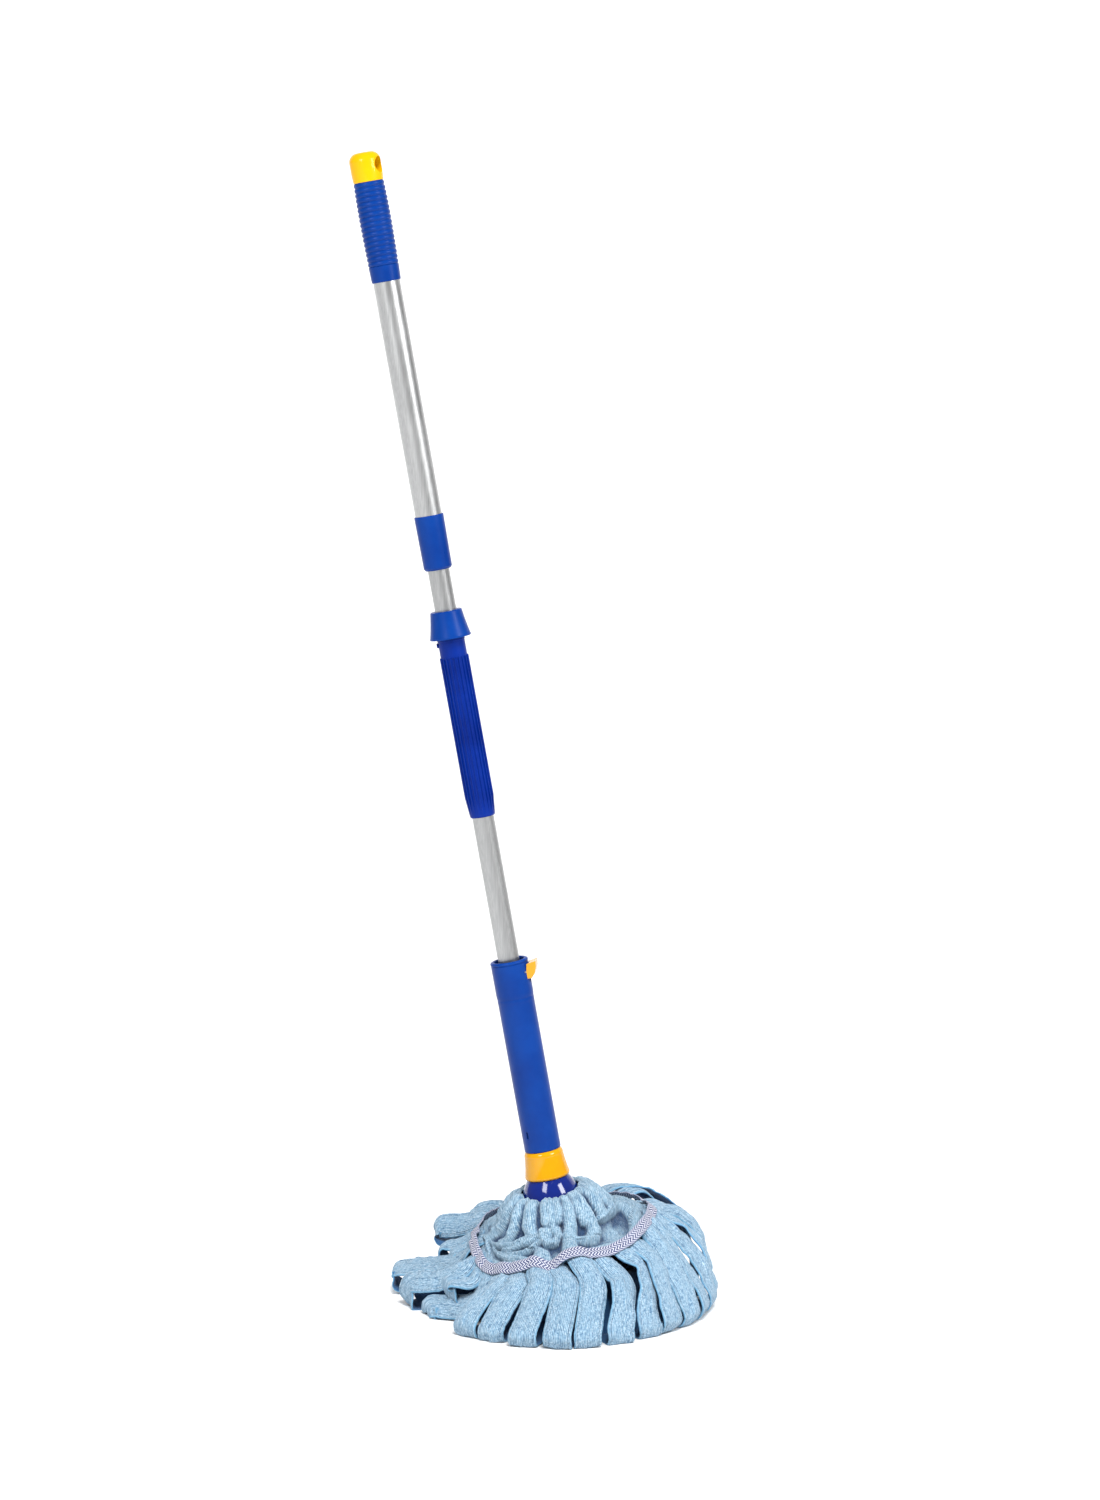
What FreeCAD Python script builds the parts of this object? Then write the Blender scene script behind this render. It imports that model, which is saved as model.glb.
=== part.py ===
import FreeCAD, Part
import math
import os

# Twist mop that wrings itself: a telescopic aluminium handle, a wringing sleeve that slides down it,
# and a head of looped terry strips. Millimetres, +Z up. The origin is on the floor where the handle's
# axis meets it. Every piece on the handle is made upright, with its height along the axis, and then
# leans with the handle. Names ending in _S are heights along the handle's axis, _R are radii.

LEAN_DEG = 10.0            # the handle leans this far towards -X
FIT = 0.08                 # radial clearance of a running fit
GAP = 0.3                  # space between pieces that pass each other without touching

# tubes of the telescopic handle
TUBE_WALL = 0.9
INNER_TUBE_R = 10.5
INNER_TUBE_S = (16.0, 1010.0)
OUTER_TUBE_R = 13.0
OUTER_TUBE_S = (742.0, 1117.5)
INNER_BORE_R = INNER_TUBE_R - TUBE_WALL
OUTER_BORE_R = OUTER_TUBE_R - TUBE_WALL

# hand grip with its ring grooves, and the cap with its hanging hole
GRIP_S = (1019.0, 1115.0)
GRIP_PLAIN = 15.5          # plain band at the lower end
GRIP_RINGS = 17
GRIP_GROOVE = 0.75         # depth of the grooves between the rings
GRIP_END_R = 14.1
GRIP_BULGE_R = 15.4
GRIP_TOP_R = 14.5
CAP_TOP_S = 1143.0
CAP_R = 15.1
CAP_PLUG = 20.0            # how far the cap's plug goes down the tube
HANG_HOLE_R = 8.0
HANG_HOLE_S = 1129.5
HANG_HOLE_AZIMUTH = 69.0   # from -Y towards +X, about the axis

# collar at the lower end of the outer tube, and the twist lock inside it
COLLAR_S = (739.0, 792.0)
COLLAR_R = (13.8, 14.3)    # at its lower and upper end
LOCK_STUD_R = 4.0
LOCK_STUD_LENGTH = 30.0
LOCK_RING_HEIGHT = 20.0

# stop cup and fluted ratchet shaft, fixed on the inner tube
CUP_S = (672.0, 698.5)
CUP_BOTTOM_R = 20.1
CUP_TOP_R = 15.5
CUP_WALL = 1.8
FLUTE_S = (495.0, 653.5)
FLUTES = 20
FLUTE_CREST_R = 14.1
FLUTE_ROOT_R = 12.5
FLUTE_TAPER = 16.0
NECK_R = 13.05
NECK_TOP_S = 693.0
RIVET_S = 666.0
RIVET_R = 2.0

# wringing sleeve
SLEEVE_S = (141.0, 351.0)
SLEEVE_R = 17.9
SLEEVE_HEAD_R = 18.3       # its wider upper end
SLEEVE_HEAD_S = (309.0, 318.0)
SLEEVE_BORE_R = 14.8
SPIGOT_R = 16.3
SPIGOT_TOP_S = 160.0
BUSH_S = (150.0, 181.7)
BUSH_STEP_S = (182.0, 188.0)
BUSH_RETAINER_LOW_S = 146.2
SLOT_AZIMUTH = -43.0
SLOT_S = 178.0
SLOT_R = 1.3               # half its width
SLOT_STRAIGHT = 5.0

# ratchet latch in the sleeve's upper end, its outlines given as (r, s) corners
LATCH_AZIMUTH = 84.0
LATCH_PIN_R = 0.9
LATCH_PIN_RADIUS_OUT = 15.3   # from the handle's axis to the pin's
LATCH_PIN_S = 338.0
LATCH_PIN_HALF = 9.0
PIN_HOLE_HALF = 12.0
PAD_OUTLINE = ((16.0, 331.3), (20.4, 331.3), (24.0, 335.2), (26.2, 341.0), (26.8, 347.4), (16.0, 345.4))
PAD_HALF_WIDTH = 9.0
PAD_FILLET = 0.7
PAD_INNER_S = (329.0, 348.5)
PAD_LIFT = 1.9             # space behind the pad's upper end, taken up when it is pressed
STEM_OUTLINE = ((14.7, 341.2), (20.2, 341.2), (18.9, 333.0), (17.2, 328.6), (14.7, 328.6))
STEM_HALF_WIDTH = 4.0
TOOTH_OUTLINE = ((14.9, 331.4), (12.9, 330.9), (12.9, 329.4), (14.9, 328.9))
TOOTH_HALF_WIDTH = 0.8
WINDOW_CLEARANCE = 0.5
WINDOW_S = (327.4, 342.2)
WINDOW_RADII = (11.0, 26.0)
SPRING_OUTLINE = ((18.5, 346.0), (18.5, 342.6), (18.75, 342.6), (18.75, 343.2), (19.2, 346.0),
                  (18.95, 346.0), (18.75, 344.7), (18.75, 346.0))
SPRING_HALF_WIDTH = 2.5

# release ring, dome and the clamp that holds the head's fabric
RING_S = (132.0, 159.7)
RING_R = (22.2, 19.3)      # at its lower end and below its rounded shoulder
RING_SHOULDER = 5.5        # height of that shoulder
DOME_TOP_S = 140.5
DOME_NECK_R = 17.4
DOME_FLANGE_R = 18.5
DOME_FLANGE_S = 137.0      # underside of the flange that the ring hooks under
DOME_SHOULDER = (20.4, 131.6)
DOME_SWELL = (26.0, 121.5)
DOME_SKIRT = (29.6, 109.0)
DOME_WALL = 2.4
DOME_RIM_S = 100.0
DOME_RIM_R = 30.5
CLAMP_RING_S = (93.0, 99.8)
CLAMP_BORE_R = 22.0

# foot of the handle
DISC_S = (10.0, 14.0)
DISC_R = 30.0
HUB_R = 15.5
HUB_TOP_S = 46.0
FOOT_CLAMP_S = (17.2, 20.2)
FOOT_CLAMP_R = (18.5, 29.0)
FOOT_PIN_R = 2.0
FOOT_PIN_S = 34.0
FOOT_SCREWS = 4
FOOT_SCREW_R = 1.4
FOOT_SCREW_CIRCLE_R = 24.0

# fabric head, as plain solids
YOKE_R = 96.0
YOKE_BOTTOM_S = 52.3
TAPE_WIDTH = 12.0
TAPE_THICKNESS = 1.0
SKIRT_R = 160.0
SKIRT_CENTRE_X = -16.0
SKIRT_EDGE_HEIGHT = 22.0
SKIRT_CROWN_HEIGHT = 30.0
SKIRT_MOUND_R = 128.0
FOOT_POCKET_R = 31.0

UP = FreeCAD.Vector(0, 0, 1)
ORIGIN = FreeCAD.Vector(0, 0, 0)


def point(radius, height):
    return FreeCAD.Vector(radius, 0, height)


def turned(*outline):
    """Solid of revolution about Z. Each step is (r, s), or a (mid, end) pair of them for an arc."""
    edges = []
    here = point(*outline[0])
    for step in outline[1:] + (outline[0],):
        if isinstance(step[0], tuple):
            there = point(*step[1])
            edges.append(Part.Arc(here, point(*step[0]), there).toShape())
        else:
            there = point(*step)
            edges.append(Part.makeLine(here, there))
        here = there
    return Part.Face(Part.Wire(edges)).revolve(ORIGIN, UP, 360)


def tube(outer, inner, low, high):
    """A plain round tube or ring."""
    return turned((inner, low), (outer, low), (outer, high), (inner, high))


def rod(radius, low, high, x=0.0, y=0.0):
    """A plain upright rod."""
    return Part.makeCylinder(radius, high - low, FreeCAD.Vector(x, y, low), UP)


def cross_rod(radius, start, end, height):
    """A rod along X at a height, from x = start to x = end."""
    return Part.makeCylinder(radius, end - start, FreeCAD.Vector(start, 0, height), FreeCAD.Vector(1, 0, 0))


def at_azimuth(shape, azimuth):
    """Turn a shape made facing +X so that it faces the azimuth, counted from -Y towards +X."""
    return shape.rotated(ORIGIN, UP, azimuth - 90.0)


def slab(outline, half_width):
    """A plate with its outline in (r, s), facing +X, as wide as twice half_width."""
    corners = [FreeCAD.Vector(r, -half_width, s) for r, s in outline]
    face = Part.Face(Part.makePolygon(corners + corners[:1]))
    return face.extrude(FreeCAD.Vector(0, 2 * half_width, 0))


# ---- handle ----

def main_tube():
    body = tube(INNER_TUBE_R, INNER_BORE_R, *INNER_TUBE_S)
    foot_hole = cross_rod(FOOT_PIN_R, -HUB_R, HUB_R, FOOT_PIN_S)
    rivet_hole = cross_rod(RIVET_R, -HUB_R, 0, RIVET_S)
    return body.cut(foot_hole).cut(rivet_hole)


def upper_tube():
    return tube(OUTER_TUBE_R, OUTER_BORE_R, *OUTER_TUBE_S)


def grip_radius(height):
    """Barrel of the grip: slim below, fullest above the middle, slimmer again at the cap."""
    low, high = GRIP_S
    peak = low + 0.68 * (high - low)
    if height < peak:
        rise = (height - low) / (peak - low)
        return GRIP_END_R + (GRIP_BULGE_R - GRIP_END_R) * math.sin(rise * math.pi / 2)
    fall = (height - peak) / (high - peak)
    return GRIP_BULGE_R - (GRIP_BULGE_R - GRIP_TOP_R) * fall ** 2


def hand_grip():
    low, high = GRIP_S
    first_groove = low + GRIP_PLAIN
    pitch = (high - first_groove) / GRIP_RINGS
    outline = [(OUTER_TUBE_R, low + 1.2), (OUTER_TUBE_R + 0.2, low), (grip_radius(low) - 0.6, low)]
    outline.append((grip_radius(low), low + 0.8))
    outline.append((grip_radius(first_groove), first_groove - 0.5))
    for ring in range(GRIP_RINGS):
        base = first_groove + ring * pitch
        outline.append((grip_radius(base) - GRIP_GROOVE, base))
        crest = (grip_radius(base + pitch / 2) + 0.1, base + pitch / 2)
        outline.append((crest, (grip_radius(base + pitch) - GRIP_GROOVE, base + pitch - 0.35)))
    outline.append((grip_radius(high) - GRIP_GROOVE, high))
    outline.append((OUTER_TUBE_R, high))
    return turned(*outline)


def hanging_cap():
    base = GRIP_S[1]
    plug_low = OUTER_TUBE_S[1] - CAP_PLUG
    shoulder = CAP_TOP_S - 8.5
    body = turned((0, plug_low), (OUTER_BORE_R - 0.6, plug_low), (OUTER_BORE_R, plug_low + 1.5),
                  (OUTER_BORE_R, OUTER_TUBE_S[1]), (OUTER_TUBE_R, OUTER_TUBE_S[1]), (OUTER_TUBE_R, base),
                  (GRIP_TOP_R - 0.3, base), (GRIP_TOP_R, base + 0.4),
                  ((CAP_R - 0.1, base + 8.0), (CAP_R, shoulder)),
                  ((CAP_R - 2.9, CAP_TOP_S - 2.2), (CAP_R - 9.0, CAP_TOP_S)), (0, CAP_TOP_S))
    hole = cross_rod(HANG_HOLE_R, -2 * CAP_R, 2 * CAP_R, HANG_HOLE_S)
    return body.cut(at_azimuth(hole, HANG_HOLE_AZIMUTH))


def lock_collar():
    low, high = COLLAR_S
    low_r, high_r = COLLAR_R
    tube_end = OUTER_TUBE_S[0]
    return turned((INNER_TUBE_R + FIT, low), (low_r - 1.4, low), (low_r, low + 2.2), (high_r, high - 1.0),
                  ((high_r - 0.3, high - 0.3), (high_r - 1.0, high)), (OUTER_TUBE_R, high),
                  (OUTER_TUBE_R, tube_end), (INNER_TUBE_R + FIT, tube_end))


def lock_plug():
    top = INNER_TUBE_S[1]
    shoulder = top + 4.0
    stud_top = shoulder + LOCK_STUD_LENGTH
    return turned((0, top - 22), (INNER_BORE_R - 0.5, top - 22), (INNER_BORE_R, top - 21),
                  (INNER_BORE_R, top), (INNER_TUBE_R, top), (INNER_TUBE_R, shoulder),
                  (LOCK_STUD_R, shoulder), (LOCK_STUD_R, stud_top - 4), (LOCK_STUD_R + 2.0, stud_top - 4),
                  (LOCK_STUD_R + 2.0, stud_top - 1), (LOCK_STUD_R, stud_top), (0, stud_top))


def lock_expander():
    """Split ring that spreads in the outer tube's bore as the handle is twisted."""
    low = INNER_TUBE_S[1] + 4.0 + GAP
    high = low + LOCK_RING_HEIGHT
    outer = OUTER_BORE_R - FIT
    ring = turned((LOCK_STUD_R + FIT, low), (outer - 1.5, low), (outer, low + 1.5), (outer, high - 1.5),
                  (outer - 1.5, high), (LOCK_STUD_R + FIT, high))
    slit = Part.makeBox(outer, 1.6, LOCK_RING_HEIGHT, FreeCAD.Vector(LOCK_STUD_R + 2.5, -0.8, low + 3))
    for third in range(3):
        ring = ring.cut(slit.rotated(ORIGIN, UP, 120 * third))
    return ring


# ---- stop cup and ratchet ----

def stop_cup():
    low, high = CUP_S
    bore = INNER_TUBE_R
    waist = (low + high) / 2
    waist_r = (CUP_BOTTOM_R + CUP_TOP_R) / 2 - 0.35
    return turned((bore, high), (CUP_TOP_R - 0.8, high), (CUP_TOP_R, high - 0.8),
                  ((waist_r, waist), (CUP_BOTTOM_R - 0.3, low + 1.6)), (CUP_BOTTOM_R, low + 1.4),
                  (CUP_BOTTOM_R, low), (CUP_BOTTOM_R - CUP_WALL, low),
                  ((waist_r - CUP_WALL, waist), (CUP_TOP_R - CUP_WALL, high - 5.5)), (bore, high - 5.5))


def fluted_bar(low, high):
    """Bar with rounded ribs round it, set so that a groove lies at the latch's azimuth."""
    pitch = 2 * math.pi / FLUTES
    groove_half = math.asin(1.25 / FLUTE_ROOT_R)
    rib_half = pitch / 2 - groove_half
    start = math.radians(LATCH_AZIMUTH - 90.0)
    shoulder_r = FLUTE_CREST_R - 0.55

    def at(radius, angle):
        return FreeCAD.Vector(radius * math.cos(angle), radius * math.sin(angle), low)

    edges = []
    for flute in range(FLUTES):
        groove = start + flute * pitch
        rib = groove + pitch / 2
        foot = at(FLUTE_ROOT_R, rib - rib_half)
        shoulder = at(shoulder_r, rib - rib_half * 0.85)
        far_shoulder = at(shoulder_r, rib + rib_half * 0.85)
        far_foot = at(FLUTE_ROOT_R, rib + rib_half)
        next_foot = at(FLUTE_ROOT_R, rib + pitch - rib_half)
        next_groove = at(FLUTE_ROOT_R, groove + pitch)
        edges.append(Part.makeLine(foot, shoulder))
        edges.append(Part.Arc(shoulder, at(FLUTE_CREST_R, rib), far_shoulder).toShape())
        edges.append(Part.makeLine(far_shoulder, far_foot))
        edges.append(Part.Arc(far_foot, next_groove, next_foot).toShape())
    return Part.Face(Part.Wire(edges)).extrude(FreeCAD.Vector(0, 0, high - low))


def ratchet_shaft():
    low, high = FLUTE_S
    bore = INNER_TUBE_R
    rough = FLUTE_CREST_R + 1.0
    envelope = turned((0, low), (FLUTE_ROOT_R - 0.9, low), (FLUTE_ROOT_R - 0.2, low + 1.0),
                      (FLUTE_CREST_R - 0.4, low + FLUTE_TAPER), (rough, low + FLUTE_TAPER + 14),
                      (rough, high - 1.5), (FLUTE_CREST_R - 0.5, high), (0, high))
    flutes = fluted_bar(low, high).common(envelope)
    cup_web = CUP_S[1] - 5.5
    neck = turned((0, high - 1), (NECK_R, high - 1), (NECK_R, CUP_S[0] - 3.0), (NECK_R + 0.5, CUP_S[0] - 2.6),
                  (NECK_R + 0.5, CUP_S[0] - 0.8), (NECK_R - 0.2, CUP_S[0] - 0.6), (NECK_R - 0.2, cup_web),
                  (0, cup_web))
    shaft = flutes.fuse(neck).removeSplitter()
    shaft = shaft.cut(rod(bore, low - 1, NECK_TOP_S + 1))
    return shaft.cut(cross_rod(RIVET_R, -2 * NECK_R, 0, RIVET_S))


def shaft_rivet():
    """Headed rivet that pins the ratchet shaft to the tube, its head proud on the left."""
    shank = cross_rod(RIVET_R, -NECK_R, -INNER_BORE_R + 1.0, RIVET_S)
    head = cross_rod(RIVET_R + 0.5, -NECK_R - 1.7, -NECK_R, RIVET_S)
    rounded = head.makeFillet(1.0, [e for e in head.Edges if abs(e.BoundBox.XMax + NECK_R + 1.7) < 1e-4])
    seat = rod(NECK_R, RIVET_S - 10, RIVET_S + 10)
    return rounded.cut(seat).fuse(shank).removeSplitter()


# ---- wringing sleeve ----

def latch_pin(radius=LATCH_PIN_R, half_length=LATCH_PIN_HALF):
    """The pin lies across the sleeve, tangent to it."""
    start = FreeCAD.Vector(LATCH_PIN_RADIUS_OUT, -half_length, LATCH_PIN_S)
    pin = Part.makeCylinder(radius, 2 * half_length, start, FreeCAD.Vector(0, 1, 0))
    return at_azimuth(pin, LATCH_AZIMUTH)


def sleeve_window():
    (near, far), (low, high) = WINDOW_RADII, WINDOW_S
    outline = [(near, low), (far, low), (far, high), (near, high)]
    return at_azimuth(slab(outline, STEM_HALF_WIDTH + WINDOW_CLEARANCE), LATCH_AZIMUTH)


def slot_window():
    """Small slot low on the sleeve, through which the bush's seat can be seen."""
    near, far = SLEEVE_BORE_R - 0.5, SLEEVE_R + 1.0
    low, high = SLOT_S - SLOT_STRAIGHT / 2, SLOT_S + SLOT_STRAIGHT / 2
    straight = slab([(near, low), (far, low), (far, high), (near, high)], SLOT_R)
    ends = [cross_rod(SLOT_R, near, far, height) for height in (low, high)]
    return at_azimuth(straight.fuse(ends).removeSplitter(), SLOT_AZIMUTH)


def twist_sleeve():
    low, high = SLEEVE_S
    ramp_low, ramp_high = SLEEVE_HEAD_S
    bead_r = SLEEVE_HEAD_R + 0.25
    step_r = INNER_TUBE_R + 1.7
    step_low, step_high = BUSH_STEP_S
    body = turned(
        (SLEEVE_BORE_R, low), (SPIGOT_R - 0.5, low), (SPIGOT_R, low + 0.6), (SPIGOT_R, SPIGOT_TOP_S),
        (SLEEVE_R - 0.5, SPIGOT_TOP_S), (SLEEVE_R, SPIGOT_TOP_S + 0.7), (SLEEVE_R, ramp_low),
        ((SLEEVE_R + 0.15, ramp_low + 2.2), (SLEEVE_HEAD_R - 0.45, (ramp_low + ramp_high) / 2)),
        ((SLEEVE_HEAD_R - 0.12, ramp_high - 2.2), (SLEEVE_HEAD_R, ramp_high)),
        (SLEEVE_HEAD_R, high - 3.6), (SLEEVE_HEAD_R - 0.35, high - 3.3), (SLEEVE_HEAD_R - 0.35, high - 2.9),
        (bead_r, high - 2.5), ((bead_r - 0.35, high - 0.6), (bead_r - 1.4, high)),
        ((SLEEVE_BORE_R + 0.4, high - 0.3), (SLEEVE_BORE_R, high - 1.2)),
        (SLEEVE_BORE_R, step_high + 2.0), (step_r, step_high), (step_r, step_low), (SLEEVE_BORE_R, step_low))
    body = body.cut(sleeve_window()).cut(slot_window())
    return body.cut(latch_pin(half_length=PIN_HOLE_HALF))


def ratchet_latch():
    """Thumb pad outside the sleeve, stem through its window, and a tooth that drops into a flute."""
    low, high = PAD_INNER_S
    pad = slab(PAD_OUTLINE, PAD_HALF_WIDTH)
    inner_face = turned((0, low), (SLEEVE_HEAD_R + GAP, low), (SLEEVE_HEAD_R + GAP, LATCH_PIN_S),
                        (SLEEVE_HEAD_R + PAD_LIFT, high), (0, high))
    outer = [e for e in pad.Edges if e.BoundBox.YLength < 1e-4 and e.BoundBox.XMin > SLEEVE_HEAD_R]
    pad = pad.makeFillet(PAD_FILLET, outer).cut(inner_face)
    stem = slab(STEM_OUTLINE, STEM_HALF_WIDTH)
    tooth = slab(TOOTH_OUTLINE, TOOTH_HALF_WIDTH)
    latch = at_azimuth(pad.fuse([stem, tooth]).removeSplitter(), LATCH_AZIMUTH)
    return latch.cut(latch_pin(radius=LATCH_PIN_R + 0.05, half_length=PIN_HOLE_HALF))


def latch_spring():
    """V of spring leaf between the sleeve and the top of the thumb pad."""
    return at_azimuth(slab(SPRING_OUTLINE, SPRING_HALF_WIDTH), LATCH_AZIMUTH)


def guide_bush():
    low, high = BUSH_S
    outer = SLEEVE_BORE_R - FIT
    return turned((INNER_TUBE_R + FIT, low), (outer, low), (outer, high - 0.8), (outer - 0.8, high),
                  (INNER_TUBE_R + FIT, high))


def bush_retainer():
    return tube(SLEEVE_BORE_R, INNER_TUBE_R + 1.2, BUSH_RETAINER_LOW_S, BUSH_S[0] - GAP)


def release_ring():
    low, high = RING_S
    low_r, high_r = RING_R
    step_s = SLEEVE_S[0]
    lip_top = DOME_FLANGE_S - GAP
    shoulder_s = high - RING_SHOULDER
    waist = ((high_r + low_r) / 2 - 0.1, (shoulder_s + low) / 2)
    return turned((SPIGOT_R + FIT, high), (high_r - 2.4, high),
                  ((high_r - 0.8, high - 1.8), (high_r, shoulder_s)),
                  (waist, (low_r, low + 3.0)), ((low_r - 0.15, low + 1.2), (low_r - 1.3, low + 0.1)),
                  (DOME_NECK_R + 0.1, low), (DOME_NECK_R + 0.1, lip_top), (DOME_FLANGE_R + 0.1, lip_top),
                  (DOME_FLANGE_R + 0.1, step_s), (SPIGOT_R + FIT, step_s + 0.6))


# ---- head ----

def head_dome():
    bore = INNER_TUBE_R + 1.5
    shoulder_r, shoulder_s = DOME_SHOULDER
    return turned((bore, DOME_TOP_S), (DOME_FLANGE_R, DOME_TOP_S), (DOME_FLANGE_R, DOME_FLANGE_S),
                  (DOME_NECK_R, DOME_FLANGE_S), (DOME_NECK_R, shoulder_s), (shoulder_r, shoulder_s),
                  (DOME_SWELL, DOME_SKIRT), ((DOME_RIM_R - 0.2, 103.2), (DOME_RIM_R, DOME_RIM_S)),
                  (DOME_RIM_R - DOME_WALL, DOME_RIM_S),
                  ((25.0, 113.0), (shoulder_r - 2.4, shoulder_s - 4.1)), (bore, shoulder_s - 0.1))


def yoke_clamp_ring():
    low, high = CLAMP_RING_S
    return turned((CLAMP_BORE_R, low), (DOME_RIM_R - 1.3, low), (DOME_RIM_R, low + 1.2),
                  (DOME_RIM_R, high), (CLAMP_BORE_R, high))


def mop_yoke():
    """Gathered upper part of the fabric, from the dome out to the sewn tape."""
    inner = DOME_RIM_R + 0.3
    return turned((inner, YOKE_BOTTOM_S), (YOKE_R, YOKE_BOTTOM_S), (YOKE_R, 58.5),
                  ((67.0, 73.0), (47.5, 98.0)), ((41.5, 109.0), (33.0, 113.0)), (29.7, 112.0),
                  (inner, 104.0))


def skirt_slope(radius):
    """Height along the axis of the strips' upper side, outside the yoke."""
    return 57.0 - (radius - YOKE_R) * 0.62


def mop_tape():
    """Woven tape sewn across the strips, lying on their slope."""
    low_r = YOKE_R + 1.2
    high_r = low_r + TAPE_WIDTH * 0.85
    lift = 0.6
    return turned((low_r, skirt_slope(low_r) + lift), (high_r, skirt_slope(high_r) + lift),
                  (high_r, skirt_slope(high_r) + lift + TAPE_THICKNESS),
                  (low_r, skirt_slope(low_r) + lift + TAPE_THICKNESS))


def leaned(shape):
    return shape.rotated(ORIGIN, FreeCAD.Vector(0, 1, 0), -LEAN_DEG)


def mop_strips():
    """Looped strips from the tape out to their folds and back under to the foot, flat on the floor."""
    edge = SKIRT_EDGE_HEIGHT
    rug = turned((0, 0), (SKIRT_R - 9, 0), ((SKIRT_R - 2.4, 3.4), (SKIRT_R, 12)), (SKIRT_R, edge - 12),
                 ((SKIRT_R - 3, edge - 3), (SKIRT_R - 12, edge)), (YOKE_R, SKIRT_CROWN_HEIGHT),
                 (0, SKIRT_CROWN_HEIGHT))
    rug.translate(FreeCAD.Vector(SKIRT_CENTRE_X, 0, 0))
    mound = leaned(turned((0, 26), (SKIRT_MOUND_R, 26), (SKIRT_MOUND_R, skirt_slope(SKIRT_MOUND_R)),
                          (YOKE_R, skirt_slope(YOKE_R)), (0, skirt_slope(YOKE_R))))
    under_yoke = leaned(rod(YOKE_R + 0.6, YOKE_BOTTOM_S - 0.6, 90.0))
    foot_pocket = leaned(rod(FOOT_POCKET_R, DISC_S[0] - GAP, 90.0))
    washer = leaned(tube(FOOT_POCKET_R + 2.0, FOOT_CLAMP_R[0], DISC_S[1], FOOT_CLAMP_S[0]))
    screws = [leaned(rod(FOOT_SCREW_R, DISC_S[1] - 0.5, 40.0, x, y)) for x, y in foot_screw_places()]
    body = rug.fuse(mound).cut(under_yoke).cut(foot_pocket)
    return body.fuse(washer).cut(Part.makeCompound(screws)).removeSplitter()


# ---- foot ----

def foot_screw_places():
    turns = [math.radians(45 + 360 * n / FOOT_SCREWS) for n in range(FOOT_SCREWS)]
    return [(FOOT_SCREW_CIRCLE_R * math.cos(t), FOOT_SCREW_CIRCLE_R * math.sin(t)) for t in turns]


def base_disc():
    low, high = DISC_S
    disc = turned((0, low), (DISC_R - 1.5, low), (DISC_R, low + 1.5), (DISC_R, high), (HUB_R, high),
                  (HUB_R, HUB_TOP_S - 2), (HUB_R - 2, HUB_TOP_S), (INNER_TUBE_R, HUB_TOP_S),
                  (INNER_TUBE_R, INNER_TUBE_S[0]), (0, INNER_TUBE_S[0]))
    disc = disc.cut(cross_rod(FOOT_PIN_R, -HUB_R, HUB_R, FOOT_PIN_S))
    for x, y in foot_screw_places():
        disc = disc.cut(rod(FOOT_SCREW_R, low + 0.8, high + 1, x, y))
    return disc


def base_clamp_ring():
    inner, outer = FOOT_CLAMP_R
    ring = tube(outer, inner, *FOOT_CLAMP_S)
    for x, y in foot_screw_places():
        ring = ring.cut(rod(FOOT_SCREW_R, FOOT_CLAMP_S[0] - 1, FOOT_CLAMP_S[1] + 1, x, y))
    return ring


def base_screws():
    screws = []
    for x, y in foot_screw_places():
        shank = rod(FOOT_SCREW_R, DISC_S[0] + 1, FOOT_CLAMP_S[1] + 0.5, x, y)
        head = Part.makeSphere(2.6, FreeCAD.Vector(x, y, FOOT_CLAMP_S[1] - 0.6), UP, 13.4, 90, 360)
        screws.append(shank.fuse(head).removeSplitter())
    return Part.makeCompound(screws)


def tube_end_plug():
    plug = rod(INNER_BORE_R, INNER_TUBE_S[0], HUB_TOP_S + 6)
    return plug.cut(cross_rod(FOOT_PIN_R, -HUB_R, HUB_R, FOOT_PIN_S))


def base_pin():
    return cross_rod(FOOT_PIN_R, -HUB_R, HUB_R, FOOT_PIN_S)


ON_HANDLE = {
    "hanging_cap": hanging_cap, "hand_grip": hand_grip, "upper_tube": upper_tube,
    "lock_collar": lock_collar, "lock_expander": lock_expander, "lock_plug": lock_plug,
    "main_tube": main_tube, "stop_cup": stop_cup, "ratchet_shaft": ratchet_shaft,
    "shaft_rivet": shaft_rivet, "twist_sleeve": twist_sleeve, "ratchet_latch": ratchet_latch,
    "latch_pin": latch_pin, "latch_spring": latch_spring, "guide_bush": guide_bush,
    "bush_retainer": bush_retainer, "release_ring": release_ring, "head_dome": head_dome,
    "yoke_clamp_ring": yoke_clamp_ring, "mop_yoke": mop_yoke, "mop_tape": mop_tape,
    "base_disc": base_disc, "base_clamp_ring": base_clamp_ring, "base_screws": base_screws,
    "tube_end_plug": tube_end_plug, "base_pin": base_pin,
}

os.makedirs("parts", exist_ok=True)
for name, make in ON_HANDLE.items():
    leaned(make()).exportStep(f"parts/{name}.step")
mop_strips().exportStep("parts/mop_strips.step")
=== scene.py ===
import math

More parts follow.
